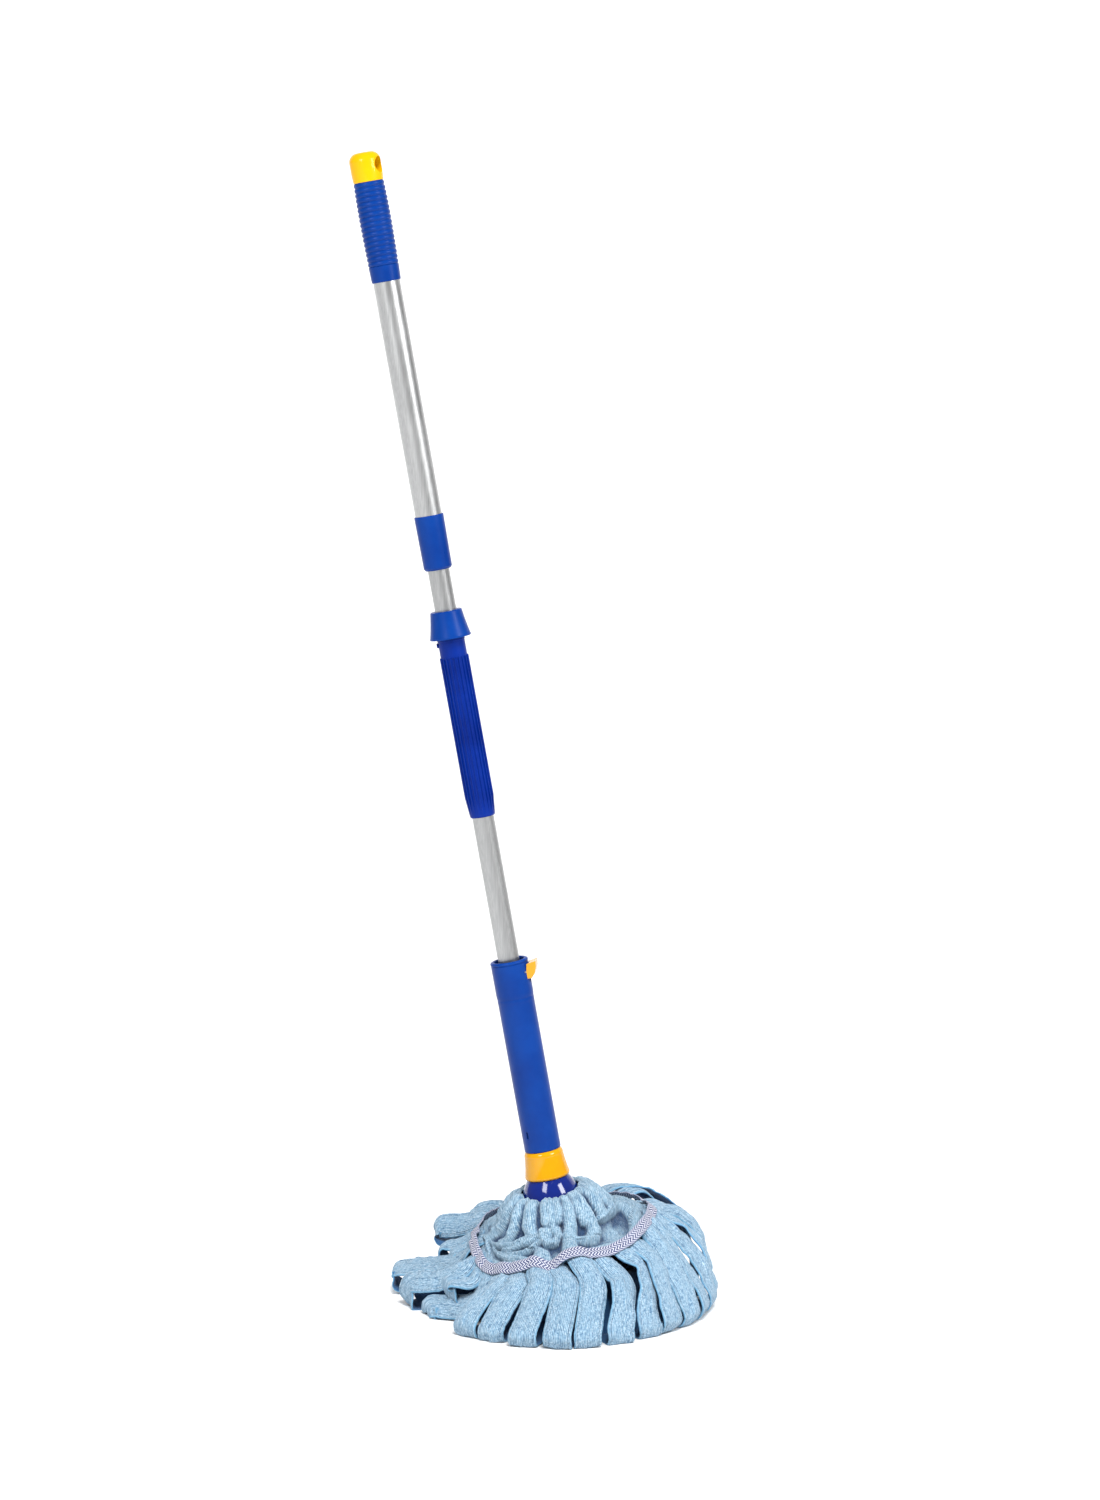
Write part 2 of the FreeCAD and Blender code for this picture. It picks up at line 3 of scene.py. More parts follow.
import bpy
import numpy as np
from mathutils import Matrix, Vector


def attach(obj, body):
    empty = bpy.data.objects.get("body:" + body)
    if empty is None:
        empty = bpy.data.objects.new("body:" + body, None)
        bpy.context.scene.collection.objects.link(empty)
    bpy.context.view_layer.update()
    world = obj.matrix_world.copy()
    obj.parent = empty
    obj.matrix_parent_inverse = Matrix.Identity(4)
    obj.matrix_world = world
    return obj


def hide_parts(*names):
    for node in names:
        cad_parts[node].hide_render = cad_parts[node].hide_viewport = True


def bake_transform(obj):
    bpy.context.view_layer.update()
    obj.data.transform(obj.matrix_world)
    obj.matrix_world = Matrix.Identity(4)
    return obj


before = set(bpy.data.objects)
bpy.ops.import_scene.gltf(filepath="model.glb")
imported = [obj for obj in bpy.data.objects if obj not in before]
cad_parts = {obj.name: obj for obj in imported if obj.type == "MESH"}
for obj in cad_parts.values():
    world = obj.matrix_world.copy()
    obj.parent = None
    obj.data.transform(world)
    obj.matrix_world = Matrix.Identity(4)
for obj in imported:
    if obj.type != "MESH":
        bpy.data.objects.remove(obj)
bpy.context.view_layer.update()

# ---- driving values (millimetres and degrees; azimuths run from -Y towards +X) ----

MM = 0.001
LEAN = math.radians(10.0)          # the handle leans this far towards -X
STRIP_WIDTH = 27.0
GATHERED_WIDTH = 22.5              # width of a strip where it is bunched under the tape
UNDER_WIDENING = 1.2               # how much the lower layer of a strip flattens out
STRIP_ROWS, STRIP_COLUMNS = 230, 27
CLOTH = 2.4                        # thickness of the terry
HEM_SEAM = 3.0                     # how far the hem's seam lies from a strip's edge
BUNCHED = 0.55                     # how high the lower layers bunch up in the head, as a share
TAPE_WIDTH = 11.5
TAPE_THICKNESS = 0.9
TAPE_LENGTH_R = 90.0               # its length is that of a circle of this radius
TAPE_ROWS, TAPE_COLUMNS = 9, 676
FOOT_PATCH_R = 36.0

# Where the tape runs: azimuth, distance from the handle's axis, height along it.
TAPE_LINE = (
    (-175, 90, 74), (-160, 87, 82), (-147, 84, 88), (-133, 81, 90), (-120, 79, 90),
    (-105, 79, 87), (-92, 79, 84), (-78, 81, 78), (-68, 84, 73), (-60, 86, 68), (-51, 87, 64),
    (-40, 88, 65), (-29, 88, 65), (-21.5, 88, 68), (-15.8, 88, 72), (-10, 88, 67), (-5.3, 88, 62),
    (-0.6, 88, 66), (5, 88, 73), (13, 88, 73), (20, 88, 68), (27, 88, 66), (36, 89, 66),
    (45, 90, 67), (54, 90, 70), (64, 91, 76), (78, 92, 80), (100, 93, 82), (120, 93, 81),
    (145, 92, 82), (165, 91, 78),
)
# Upper part of the gathered terry, from the dome outwards: distance from the axis, height along it.
YOKE_PROFILE = ((29.5, 111.5), (35.5, 113.5), (43.0, 109.5), (49.5, 100.5), (57.0, 86.5),
                (67.0, 76.0))
YOKE_SHARES = (0.0, 0.06, 0.13, 0.25, 0.43, 0.62)   # how far down the yoke each of those lies
YOKE_RISE = 6.0                    # how much higher its upper edge is at the sides than in front
YOKE_LENGTH = 88.0
YOKE_THICKNESS = 2.2
YOKE_ROWS, YOKE_COLUMNS = 112, 720
CLOTH_OFFSET = 400.0               # keeps the cloth coordinates round the head positive

# Looped strips: azimuth at the tape; then along the upper side azimuth, reach and height above
# the floor, and roll (its anticlockwise edge raised); last the fold's azimuth, reach, height and
# roll, and for some the height of its lower side and the roll of the lower layer.
STRIPS = (
    (-39, ((-39, 112, 44, 4), (-40.5, 138, 29, 6)), (-40.7, 156, 16, 2)),
    (-27, ((-27.5, 112, 46, -12), (-29, 136, 31, -14)), (-29.8, 157, 14, -3)),
    (-14, ((-15, 112, 49, 3), (-16, 138, 30, 4)), (-16.5, 163, 15, 0)),
    (-1, ((-2, 112, 49, -3), (-3.5, 140, 30, 2)), (-4.5, 165, 15, 2)),
    (12, ((10, 112, 50, -8), (7, 140, 31, -10)), (5.2, 161, 15, -6)),
    (26, ((26, 110, 50, -12), (22, 134, 33, -24)), (18.4, 152, 15, -6)),
    (43, ((41, 104, 56, -34), (36.5, 124, 40, -30)), (31.5, 144, 17, -6)),
    (54, ((50, 106, 59, -16), (45.5, 126, 39, -14)), (43, 142, 20, -10)),
    (67, ((62, 104, 62, 10), (58, 122, 43, 14)), (56.5, 141, 21, 6)),
    (78, ((75, 104, 62, -14), (71.5, 122, 42, -12)), (69, 140, 23, -4)),
    (90, ((88, 106, 69, 10), (85.5, 125, 50, 14)), (82, 141, 26, 8)),
    (102, ((99, 110, 76, -4), (95, 128, 58, -2)), (93, 142, 32, 0)),
    (117, ((116, 114, 82, 20), (112, 132, 67, 26)), (108, 146, 44, 20, 2, 0)),
    (130, ((127, 110, 84, 10), (122, 127, 66, 18)), (119, 142, 38, 12)),
    (164, ((160, 104, 92, -8), (150, 120, 94, -10), (141, 132, 85, -12)),
     (134, 143, 72, -8, 58, 0)),
    (147, ((147, 106, 93, 0), (143, 122, 85, 0)), (140, 137, 66, 0, 50, 0)),
    (174, ((176, 114, 62, 4), (178, 136, 40, 6)), (179, 157, 17, 0)),
    (-171, ((-170, 114, 64, 8), (-169, 137, 40, 6)), (-167, 157, 17, 0)),
    (-157, ((-156, 112, 66, -6), (-155, 136, 46, -10)), (-154, 156, 22, 0)),
    (-143, ((-138, 108, 79, -16), (-134, 124, 76, -26)), (-131, 138, 67, -18, 50, 20)),
    (-128, ((-126, 112, 70, -40), (-124.5, 136, 62, -48)), (-123, 158, 60, -46, 46, 40)),
    (-114, ((-112, 108, 58, -12), (-110, 122, 51, -14)), (-109, 134, 49, -8, 32, 20)),
    (-100, ((-101, 100, 56, -10), (-101, 108, 50, -10)), (-101, 118, 49, -8, 33, 20)),
    (-88, ((-92, 108, 45, -22), (-99, 138, 34, -28)), (-107, 182, 25, -22, 7, 56)),
    (-73, ((-72, 112, 43, -36), (-79, 134, 31, -42)), (-87, 160, 26, -36, 0, 66)),
    (-62, ((-62, 110, 36, -10),), (-70, 126, 35, -8, 17, 30)),
    (-52, ((-55, 112, 20, -28), (-66, 128, 12, -34)), (-73, 143, 10, -32, 0, 40)),
    (140, ((143, 108, 62, 6), (146, 132, 38, 4)), (148, 150, 16, 0)),
    (156, ((158, 110, 62, 4), (162, 134, 40, 4)), (164, 153, 16, 0)),
    (-136, ((-139, 112, 58, 0), (-141, 136, 36, 0)), (-142, 156, 16, 0)),
    (-121, ((-124, 110, 50, 0), (-127, 134, 30, 0)), (-128, 152, 16, 0)),
    (-107, ((-110, 108, 40, 0), (-113, 132, 24, 0)), (-114, 150, 14, 0)),
)

# Folds of the gathered terry: azimuth, share of the way down, half width and height of each point.
FOLDS = (
    ((-106, 0.05, 8.5, 8), (-104, 0.3, 8.5, 10), (-106, 0.55, 8.5, 9), (-104, 0.8, 7.5, 6)),
    ((-88, 0.02, 7.5, 7), (-89, 0.15, 7.5, 9), (-91, 0.28, 7.5, 9), (-94, 0.5, 6.5, 7)),
    ((-72, 0.02, 7.5, 8), (-70, 0.15, 7.5, 10), (-74, 0.3, 7.5, 10), (-78, 0.5, 7.5, 10),
     (-79, 0.68, 6.5, 8)),
    ((-52, 0.02, 7.5, 8), (-48, 0.18, 7.5, 11), (-48, 0.33, 7.5, 12), (-51, 0.46, 7.5, 11),
     (-60, 0.55, 6.5, 9)),
    ((-32, 0.02, 8.5, 8), (-29, 0.18, 8.5, 11), (-28, 0.31, 8.5, 13), (-24, 0.4, 7.5, 12),
     (-26, 0.5, 6.5, 10)),
    ((-11, 0.0, 6.5, 8), (-9, 0.14, 6.5, 10), (-8, 0.28, 6.5, 11)),
    ((-2, 0.0, 6.5, 8), (-2, 0.15, 6.5, 11), (-3, 0.29, 7.5, 12)),
    ((8, 0.0, 6.5, 8), (7, 0.17, 6.5, 10), (4, 0.29, 6.5, 11)),
    ((-13, 0.38, 5, 11), (-12, 0.49, 5, 13), (-8, 0.55, 6, 13), (-2, 0.55, 6, 13), (2, 0.5, 5, 13),
     (2, 0.4, 5, 12)),
    ((-9, 0.4, 7, 12), (-8, 0.45, 7, 12)),
    ((-1, 0.38, 6, 12), (0, 0.42, 6, 12)),
    ((22, 0.02, 6.5, 8), (21, 0.11, 6.5, 10), (18, 0.26, 7.5, 12), (15, 0.41, 7.5, 13),
     (11, 0.6, 8.5, 11), (8, 0.8, 9, 7)),
    ((36, 0.03, 6.5, 8), (33, 0.14, 6.5, 10), (31, 0.26, 6.5, 12), (32, 0.38, 6.5, 12)),
    ((46, 0.03, 6.5, 8), (41, 0.12, 6.5, 11), (38, 0.26, 7.5, 13), (38, 0.4, 7.5, 14),
     (36, 0.54, 8.5, 14), (29, 0.64, 8.5, 13), (20, 0.6, 7.5, 11)),
    ((62, 0.03, 7.5, 8), (62, 0.17, 7.5, 11), (58, 0.29, 7.5, 13), (57, 0.42, 6.5, 12)),
    ((80, 0.04, 8.5, 9), (70, 0.13, 8.5, 11), (72, 0.26, 8.5, 13), (76, 0.4, 8.5, 12)),
    ((50, 0.4, 4.5, 12), (62, 0.43, 6.5, 14), (72, 0.48, 6.5, 14)),
    ((70, 0.42, 7.5, 13), (82, 0.52, 9, 15), (84, 0.66, 10, 16), (76, 0.82, 10, 14),
     (66, 0.92, 8.5, 11), (56, 0.95, 6.5, 7)),
    ((98, 0.05, 8.5, 8), (96, 0.3, 9, 11), (100, 0.55, 11, 13), (96, 0.85, 11, 9)),
    ((114, 0.05, 8.5, 8), (112, 0.35, 9, 11), (114, 0.6, 10, 13), (108, 0.88, 10, 8)),
    ((-84, 0.76, 4.5, 7), (-75, 0.73, 4.5, 8), (-68, 0.81, 4.5, 7)),
    ((-72, 0.67, 4.5, 8), (-62, 0.59, 4.5, 10), (-51, 0.56, 4.5, 11), (-40, 0.53, 4.5, 11),
     (-33, 0.47, 4.5, 11), (-27, 0.42, 4.5, 10)),
    ((-52, 0.64, 4.5, 8), (-43, 0.61, 4.5, 10), (-33, 0.55, 4.5, 11), (-24, 0.5, 4.5, 11),
     (-18, 0.46, 4.5, 10)),
    ((-46, 0.7, 4.5, 7), (-35, 0.69, 4.5, 9), (-27, 0.65, 4.5, 10), (-20, 0.58, 4.5, 11),
     (-16, 0.54, 4.5, 10)),
    ((-64, 0.68, 4.5, 6), (-50, 0.72, 6.5, 7), (-36, 0.77, 6.5, 7), (-25, 0.8, 6.5, 7)),
    ((-14, 0.66, 8.5, 7), (-13, 0.8, 10, 8), (-12, 0.97, 10, 7)),
    ((-70, 0.88, 7.5, 4), (-52, 0.88, 7.5, 4), (-34, 0.9, 8.5, 4)),
    ((26, 0.86, 10, 4), (36, 0.86, 10, 4), (46, 0.9, 9, 4)),
)
PLAIN_FOLDS = 26                   # folds round the rest of the yoke
PLAIN_FOLD_FRONT = (-100.0, 112.0)  # between these azimuths the folds above take their place
PLEATS = 40                        # small pleats round its upper edge

# Camera and light, in metres, watts and degrees.
CAMERA_PLACE = (-0.0207, -4.0, 1.0666)
CAMERA_DOWN = 7.33                 # how far it looks down
CAMERA_LENS = 99.84
CAMERA_SENSOR = 36.0
WORLD_LIGHT = 0.27
CEILING_LIGHT = {"place": (0.3, -1.7, 2.7), "strength": 3.2, "softness": 20.0}
SOFTBOX_TARGET = (-0.05, 0.0, 0.3)
SOFTBOX_SIZE = (0.8, 0.9)
SOFTBOXES = (
    ("left_softbox", (-1.15, -1.75, 1.75), 24.0),
    ("right_softbox", (1.65, -1.2, 1.75), 30.0),
)


# ---- geometry helpers ----

def on_handle(points):
    """Points with their height along the handle's axis, leant with the handle."""
    p = np.asarray(points, float)
    c, s = math.cos(LEAN), math.sin(LEAN)
    return np.stack([p[..., 0] * c - p[..., 2] * s, p[..., 1], p[..., 0] * s + p[..., 2] * c], -1)


def polar(azimuth, radius, height):
    """A point at an azimuth counted from -Y towards +X."""
    return np.stack([radius * np.sin(azimuth), -radius * np.cos(azimuth), height + 0 * azimuth], -1)


def normalised(v):
    return v / np.maximum(np.linalg.norm(v, axis=-1, keepdims=True), 1e-12)


def spline(points, count):
    """Even points along a smooth curve through the given ones."""
    p = np.asarray(points, float)
    p = np.concatenate([2 * p[:1] - p[1:2], p, 2 * p[-1:] - p[-2:-1]])
    fine = []
    for i in range(1, len(p) - 2):
        t = np.linspace(0, 1, 40, endpoint=False)[:, None]
        a, b, c, d = p[i - 1], p[i], p[i + 1], p[i + 2]
        fine.append(0.5 * (2 * b + (c - a) * t + (2 * a - 5 * b + 4 * c - d) * t ** 2
                           + (3 * b - a - 3 * c + d) * t ** 3))
    fine = np.concatenate(fine + [p[-2:-1]])
    along = np.concatenate([[0], np.cumsum(np.linalg.norm(np.diff(fine, axis=0), axis=1))])
    at = np.linspace(0, along[-1], count)
    return np.stack([np.interp(at, along, fine[:, k]) for k in range(3)], 1), along[-1]


def smooth_noise(x, seed, scale):
    """One-dimensional smooth noise from -1 to 1."""
    lattice = np.random.default_rng(seed).uniform(-1, 1, 257)
    t = np.mod(np.asarray(x) / scale, 256)
    i = np.floor(t).astype(int)
    f = t - i
    f = f * f * (3 - 2 * f)
    return lattice[i] * (1 - f) + lattice[i + 1] * f


def lumps(u, v, seed, scale):
    """Two-dimensional smooth noise from -1 to 1."""
    lattice = np.random.default_rng(seed).uniform(-1, 1, (128, 128))
    a, b = np.mod(u / scale + 1e-9, 126.5), np.mod(v / scale + 1e-9, 126.5)
    i, j = np.floor(a).astype(int), np.floor(b).astype(int)
    f, g = a - i, b - j
    f, g = f * f * (3 - 2 * f), g * g * (3 - 2 * g)
    top = lattice[i, j] * (1 - f) + lattice[i + 1, j] * f
    bottom = lattice[i, j + 1] * (1 - f) + lattice[i + 1, j + 1] * f
    return top * (1 - g) + bottom * g


def sheet_mesh(name, outer, inner, layers, materials, closed_round=False):
    """A closed thin body from two matching grids of points in millimetres: its outer face, its
    inner face and its edge. Each layer of cloth coordinates is a grid of the same size."""
    rows, columns = outer.shape[:2]
    count = rows * columns
    index = np.arange(count).reshape(rows, columns)
    wrapped = np.concatenate([index, index[:, :1]], 1) if closed_round else index
    quads = np.stack([wrapped[:-1, :-1], wrapped[1:, :-1], wrapped[1:, 1:], wrapped[:-1, 1:]], -1)
    quads = quads.reshape(-1, 4)
    loops = [wrapped[0], wrapped[-1][::-1]]
    if not closed_round:
        loops += [index[::-1, 0], index[:, -1]]
    edge = np.concatenate([np.stack([line[:-1], line[1:], line[1:] + count, line[:-1] + count], -1)
                           for line in loops])
    faces = np.concatenate([quads, quads[:, ::-1] + count, edge])
    slots = np.concatenate([np.zeros(len(quads)), np.ones(len(quads)), np.full(len(edge), 2)])
    slots = np.minimum(slots, len(materials) - 1).astype(np.int32)
    points = np.concatenate([outer.reshape(-1, 3), inner.reshape(-1, 3)]) * MM
    mesh = bpy.data.meshes.new(name)
    mesh.from_pydata(points.tolist(), [], faces.tolist())
    mesh.polygons.foreach_set("use_smooth", np.ones(len(faces), bool))
    mesh.polygons.foreach_set("material_index", slots)
    for layer_name, grid in layers.items():
        flat = np.concatenate([grid.reshape(-1, 2), grid.reshape(-1, 2)])
        layer = mesh.uv_layers.new(name=layer_name)
        layer.data.foreach_set("uv", flat[faces.ravel()].astype(np.float32).ravel())
    for material in materials:
        mesh.materials.append(material)
    piece = bpy.data.objects.new(name, mesh)
    bpy.context.scene.collection.objects.link(piece)
    return piece


def tape_at(azimuth):
    """Distance from the handle's axis and height along it of the tape at an azimuth in degrees."""
    table = np.array(TAPE_LINE, float)
    around = np.concatenate([table[:, 0] - 360, table[:, 0], table[:, 0] + 360])
    fine = np.arange(-540, 541, 1.0)
    smoothing = np.hanning(13) / np.hanning(13).sum()
    found = []
    for column in (1, 2):
        values = np.interp(fine, around, np.tile(table[:, column], 3))
        found.append(np.interp(azimuth, fine, np.convolve(values, smoothing, "same")))
    return found


def yoke_at(azimuth, share):
    """The same for the yoke's surface without its folds, at a share of the way down it."""
    tape_r, tape_s = tape_at(azimuth)
    profile = np.array(YOKE_PROFILE)
    fine = np.linspace(0, YOKE_SHARES[-1], 200)
    smoothing = np.hanning(33) / np.hanning(33).sum()
    near = []
    for column in (0, 1):
        values = np.interp(fine, YOKE_SHARES, profile[:, column])
        padded = np.pad(values, 16, mode="reflect", reflect_type="odd")
        near.append(np.interp(share, fine, np.convolve(padded, smoothing, "valid")))
    at_side = np.minimum(1, 1 - np.cos(np.radians(azimuth)))
    near[1] = near[1] + YOKE_RISE * at_side * np.clip(1 - share / 0.35, 0, 1)
    lower = np.clip(share / YOKE_SHARES[-1], 0, 1)
    near[1] = near[1] + 0.9 * np.maximum(tape_s - 68, 0) * lower ** 2
    rest = np.clip((share - YOKE_SHARES[-1]) / (1 - YOKE_SHARES[-1]), 0, 1)
    return near[0] + (tape_r - near[0]) * rest, near[1] + (tape_s - near[1]) * rest


# ---- materials ----

class Nodes:
    """Small helper to write a material's nodes as nested calls."""

    def __init__(self, name):
        self.material = bpy.data.materials.new(name)
        self.material.use_nodes = True
        self.tree = self.material.node_tree
        self.shader = self.tree.nodes["Principled BSDF"]

    def add(self, kind, inputs=None, **settings):
        node = self.tree.nodes.new(kind)
        for key, value in settings.items():
            setattr(node, key, value)
        for key, value in (inputs or {}).items():
            self.put(node.inputs[key], value)
        return node

    def put(self, socket, value):
        if isinstance(value, bpy.types.NodeSocket):
            self.tree.links.new(value, socket)
        else:
            socket.default_value = value

    def set(self, **inputs):
        for key, value in inputs.items():
            self.put(self.shader.inputs[key.replace("_", " ")], value)

    def coordinates(self, kind, scale, rotation=(0, 0, 0)):
        source = self.add("ShaderNodeTexCoord").outputs[kind]
        inputs = {"Vector": source, "Scale": scale, "Rotation": rotation}
        return self.add("ShaderNodeMapping", inputs).outputs["Vector"]

    def cloth(self, scale):
        """Cloth coordinates in millimetres, scaled."""
        inputs = {"Vector": self.uv("cloth"), "Scale": (*scale, 1)}
        return self.add("ShaderNodeMapping", inputs).outputs["Vector"]

    def uv(self, layer):
        return self.add("ShaderNodeUVMap", uv_map=layer).outputs["UV"]

    def parts(self, vector):
        outputs = self.add("ShaderNodeSeparateXYZ", {"Vector": vector}).outputs
        return outputs["X"], outputs["Y"]

    def noise(self, vector, scale, detail=3.0, roughness=0.5):
        inputs = {"Vector": vector, "Scale": scale, "Detail": detail, "Roughness": roughness}
        return self.add("ShaderNodeTexNoise", inputs).outputs["Fac"]

    def cells(self, vector, scale, randomness):
        inputs = {"Vector": vector, "Scale": scale, "Randomness": randomness}
        return self.add("ShaderNodeTexVoronoi", inputs, feature="F1").outputs["Distance"]

    def remap(self, value, low, high, to_low=0.0, to_high=1.0):
        inputs = {"Value": value, "From Min": low, "From Max": high, "To Min": to_low,
                  "To Max": to_high}
        return self.add("ShaderNodeMapRange", inputs).outputs["Result"]

    def maths(self, operation, a, b=0.0):
        node = self.add("ShaderNodeMath", operation=operation)
        self.put(node.inputs[0], a)
        self.put(node.inputs[1], b)
        return node.outputs[0]

    def weighted(self, *terms):
        """Sum of values, each times its weight."""
        total = None
        for value, weight in terms:
            part = self.maths("MULTIPLY", value, weight)
            total = part if total is None else self.maths("ADD", total, part)
        return total

    def ramp(self, value, *stops):
        node = self.add("ShaderNodeValToRGB", {"Fac": value})
        elements = node.color_ramp.elements
        while len(elements) < len(stops):
            elements.new(0.5)
        for element, (place, colour) in zip(elements, stops):
            element.position = place
            element.color = (*colour, 1.0)
        return node.outputs["Color"]

    def mix(self, factor, a, b):
        node = self.add("ShaderNodeMix", data_type="RGBA", blend_type="MIX")
        for socket, value in zip((node.inputs[0], node.inputs[6], node.inputs[7]), (factor, a, b)):
            if isinstance(value, tuple) and len(value) == 3:
                value = (*value, 1.0)
            self.put(socket, value)
        return node.outputs[2]

    def bump(self, height, distance, strength=1.0, normal=None):
        inputs = {"Height": height, "Distance": distance, "Strength": strength}
        if normal is not None:
            inputs["Normal"] = normal
        return self.add("ShaderNodeBump", inputs).outputs["Normal"]


def srgb(red, green, blue):
    """Linear colour from the eight-bit values that a screen shows."""
    def linear(c):
        c /= 255
        return c / 12.92 if c <= 0.04045 else ((c + 0.055) / 1.055) ** 2.4
    return tuple(linear(c) for c in (red, green, blue))


def plastic(name, colour, darker, roughness, specular=0.2, coat=0.0):
    """Injection-moulded plastic: faint orange peel, fine handling scratches and uneven gloss."""
    n = Nodes(name)
    place = n.coordinates("Object", (1, 1, 1))
    along = n.coordinates("Object", (900, 900, 14), (0, LEAN, 0))
    cloud = n.noise(place, 22.0, 4.0, 0.6)
    scratches = n.noise(along, 1.0, 2.0, 0.7)
    peel = n.noise(place, 900.0, 2.0)
    n.set(Base_Color=n.ramp(cloud, (0.3, darker), (0.62, colour)),
          Roughness=n.remap(n.maths("ADD", cloud, n.maths("MULTIPLY", scratches, 0.6)), 0.4, 1.2,
                            roughness - 0.05, roughness + 0.12))
    shallow = n.bump(peel, 0.00004, 0.6)
    n.set(Normal=n.bump(scratches, 0.00003, 0.35, shallow))
    n.shader.inputs["Specular IOR Level"].default_value = specular
    n.shader.inputs["Coat Weight"].default_value = coat
    n.shader.inputs["Coat Roughness"].default_value = 0.05
    n.shader.inputs["Coat IOR"].default_value = 1.6
    return n.material


def drawn_metal(name, colour, darker, roughness, grain=1400.0):
    """Satin aluminium or steel with its grain along the handle, and soft handling marks."""
    n = Nodes(name)
    place = n.coordinates("Object", (1, 1, 1))
    along = n.coordinates("Object", (grain, grain, 6), (0, LEAN, 0))
    streaks = n.noise(along, 1.0, 3.0, 0.65)
    marks = n.noise(place, 14.0, 4.0, 0.6)
    n.set(Base_Color=n.mix(n.remap(streaks, 0.35, 0.7), darker, colour),
          Roughness=n.remap(n.maths("ADD", streaks, marks), 0.7, 1.3, roughness - 0.05,
                            roughness + 0.1),
          Normal=n.bump(streaks, 0.00003, 0.5))
    n.shader.inputs["Metallic"].default_value = 1.0
    return n.material


def terry(name, lit_crown, body, shaded_valley, loop_depth, hem=None, fold_shade=None):
    """Microfibre terry: rows of small loops in ribs, with fuzz and uneven dye, painted light on the
    loop crowns and painted shade in the valleys between loops; where given, a stitched hem, and
    painted shade in the hollows between folds."""
    n = Nodes(name)
    loops = n.cells(n.cloth((0.62, 0.44)), 1.0, randomness=0.85)
    fine = n.noise(n.cloth((2.3, 2.3)), 1.0, 3.0, 0.7)
    dye = n.noise(n.cloth((0.03, 0.03)), 1.0, 3.0, 0.6)
    specks = n.noise(n.cloth((0.75, 0.9)), 1.0, 4.0, 0.75)
    streaks = n.noise(n.cloth((0.55, 0.16)), 1.0, 3.0, 0.6)
    ribs = n.add("ShaderNodeTexWave", {"Vector": n.cloth((0.19, 0.12)), "Scale": 1.0, "Detail": 2.0,
                                       "Distortion": 1.0, "Detail Scale": 1.5},
                 wave_type="BANDS", bands_direction="X").outputs["Fac"]
    height = n.weighted((n.maths("SUBTRACT", 1.0, loops), 0.62), (fine, 0.28), (ribs, 0.32))
    # Painted light and shade: the tone follows the bump's height, so loop crowns take the lighter
    # colour and the valleys between loops the darker one; specks and streaks add random tone.
    tone = n.weighted((n.remap(height, 0.45, 0.95), 0.55), (n.remap(specks, 0.35, 0.7), 0.3),
                      (n.remap(streaks, 0.34, 0.66), 0.3))
    shade = n.ramp(tone, (0.08, shaded_valley), (0.42, body), (0.9, lit_crown))
    colour = n.mix(n.remap(dye, 0.35, 0.7, 0.0, 0.35), shade, body)
    if hem:
        from_edge, along = n.parts(n.uv("rim"))
        wander = n.maths("MULTIPLY", n.noise(n.cloth((0.2, 0.2)), 1.0), 0.9)
        edge = n.remap(n.maths("SUBTRACT", from_edge, wander), 0.7, 0.1)
        dash = n.remap(n.maths("PINGPONG", along, 1.3), 0.35, 0.65)
        seam = n.remap(n.maths("ABSOLUTE", n.maths("SUBTRACT", from_edge, HEM_SEAM)), 0.55, 0.25)
        stitches = n.maths("MULTIPLY", seam, dash)
        height = n.maths("SUBTRACT", height, n.maths("MULTIPLY", stitches, 0.5))
        colour = n.mix(n.maths("MULTIPLY", stitches, 0.4), colour, shaded_valley)
        colour = n.mix(n.maths("MULTIPLY", edge, 0.75), colour, hem)
    if fold_shade:
        # Painted shade: where the cloth lies lower than its neighbours, in the hollows between
        # folds, its colour is mixed towards the given dark colour.
        depth = n.parts(n.uv("rim"))[0]
        colour = n.mix(n.remap(depth, -0.5, -3.6, 0.0, 0.92), colour, fold_shade)
    n.set(Base_Color=colour, Normal=n.bump(height, loop_depth, 1.0))
    n.shader.inputs["Roughness"].default_value = 0.95
    n.shader.inputs["Specular IOR Level"].default_value = 0.15
    n.shader.inputs["Sheen Weight"].default_value = 0.25
    n.shader.inputs["Sheen Roughness"].default_value = 0.6
    n.shader.inputs["Sheen Tint"].default_value = (0.82, 0.92, 1.0, 1.0)
    return n.material


def knit(name, colour, darker):
    """Smooth knitted back of the terry: fine rows of stitches."""
    n = Nodes(name)
    stitches = n.cells(n.cloth((0.9, 0.6)), 1.0, randomness=0.25)
    cloud = n.noise(n.cloth((0.05, 0.05)), 1.0, 3.0)
    n.set(Base_Color=n.mix(n.remap(n.maths("ADD", stitches, cloud), 0.5, 1.4), colour, darker),
          Normal=n.bump(n.maths("SUBTRACT", 1.0, stitches), 0.00035, 0.8))
    n.shader.inputs["Roughness"].default_value = 0.85
    n.shader.inputs["Sheen Weight"].default_value = 0.2
    return n.material


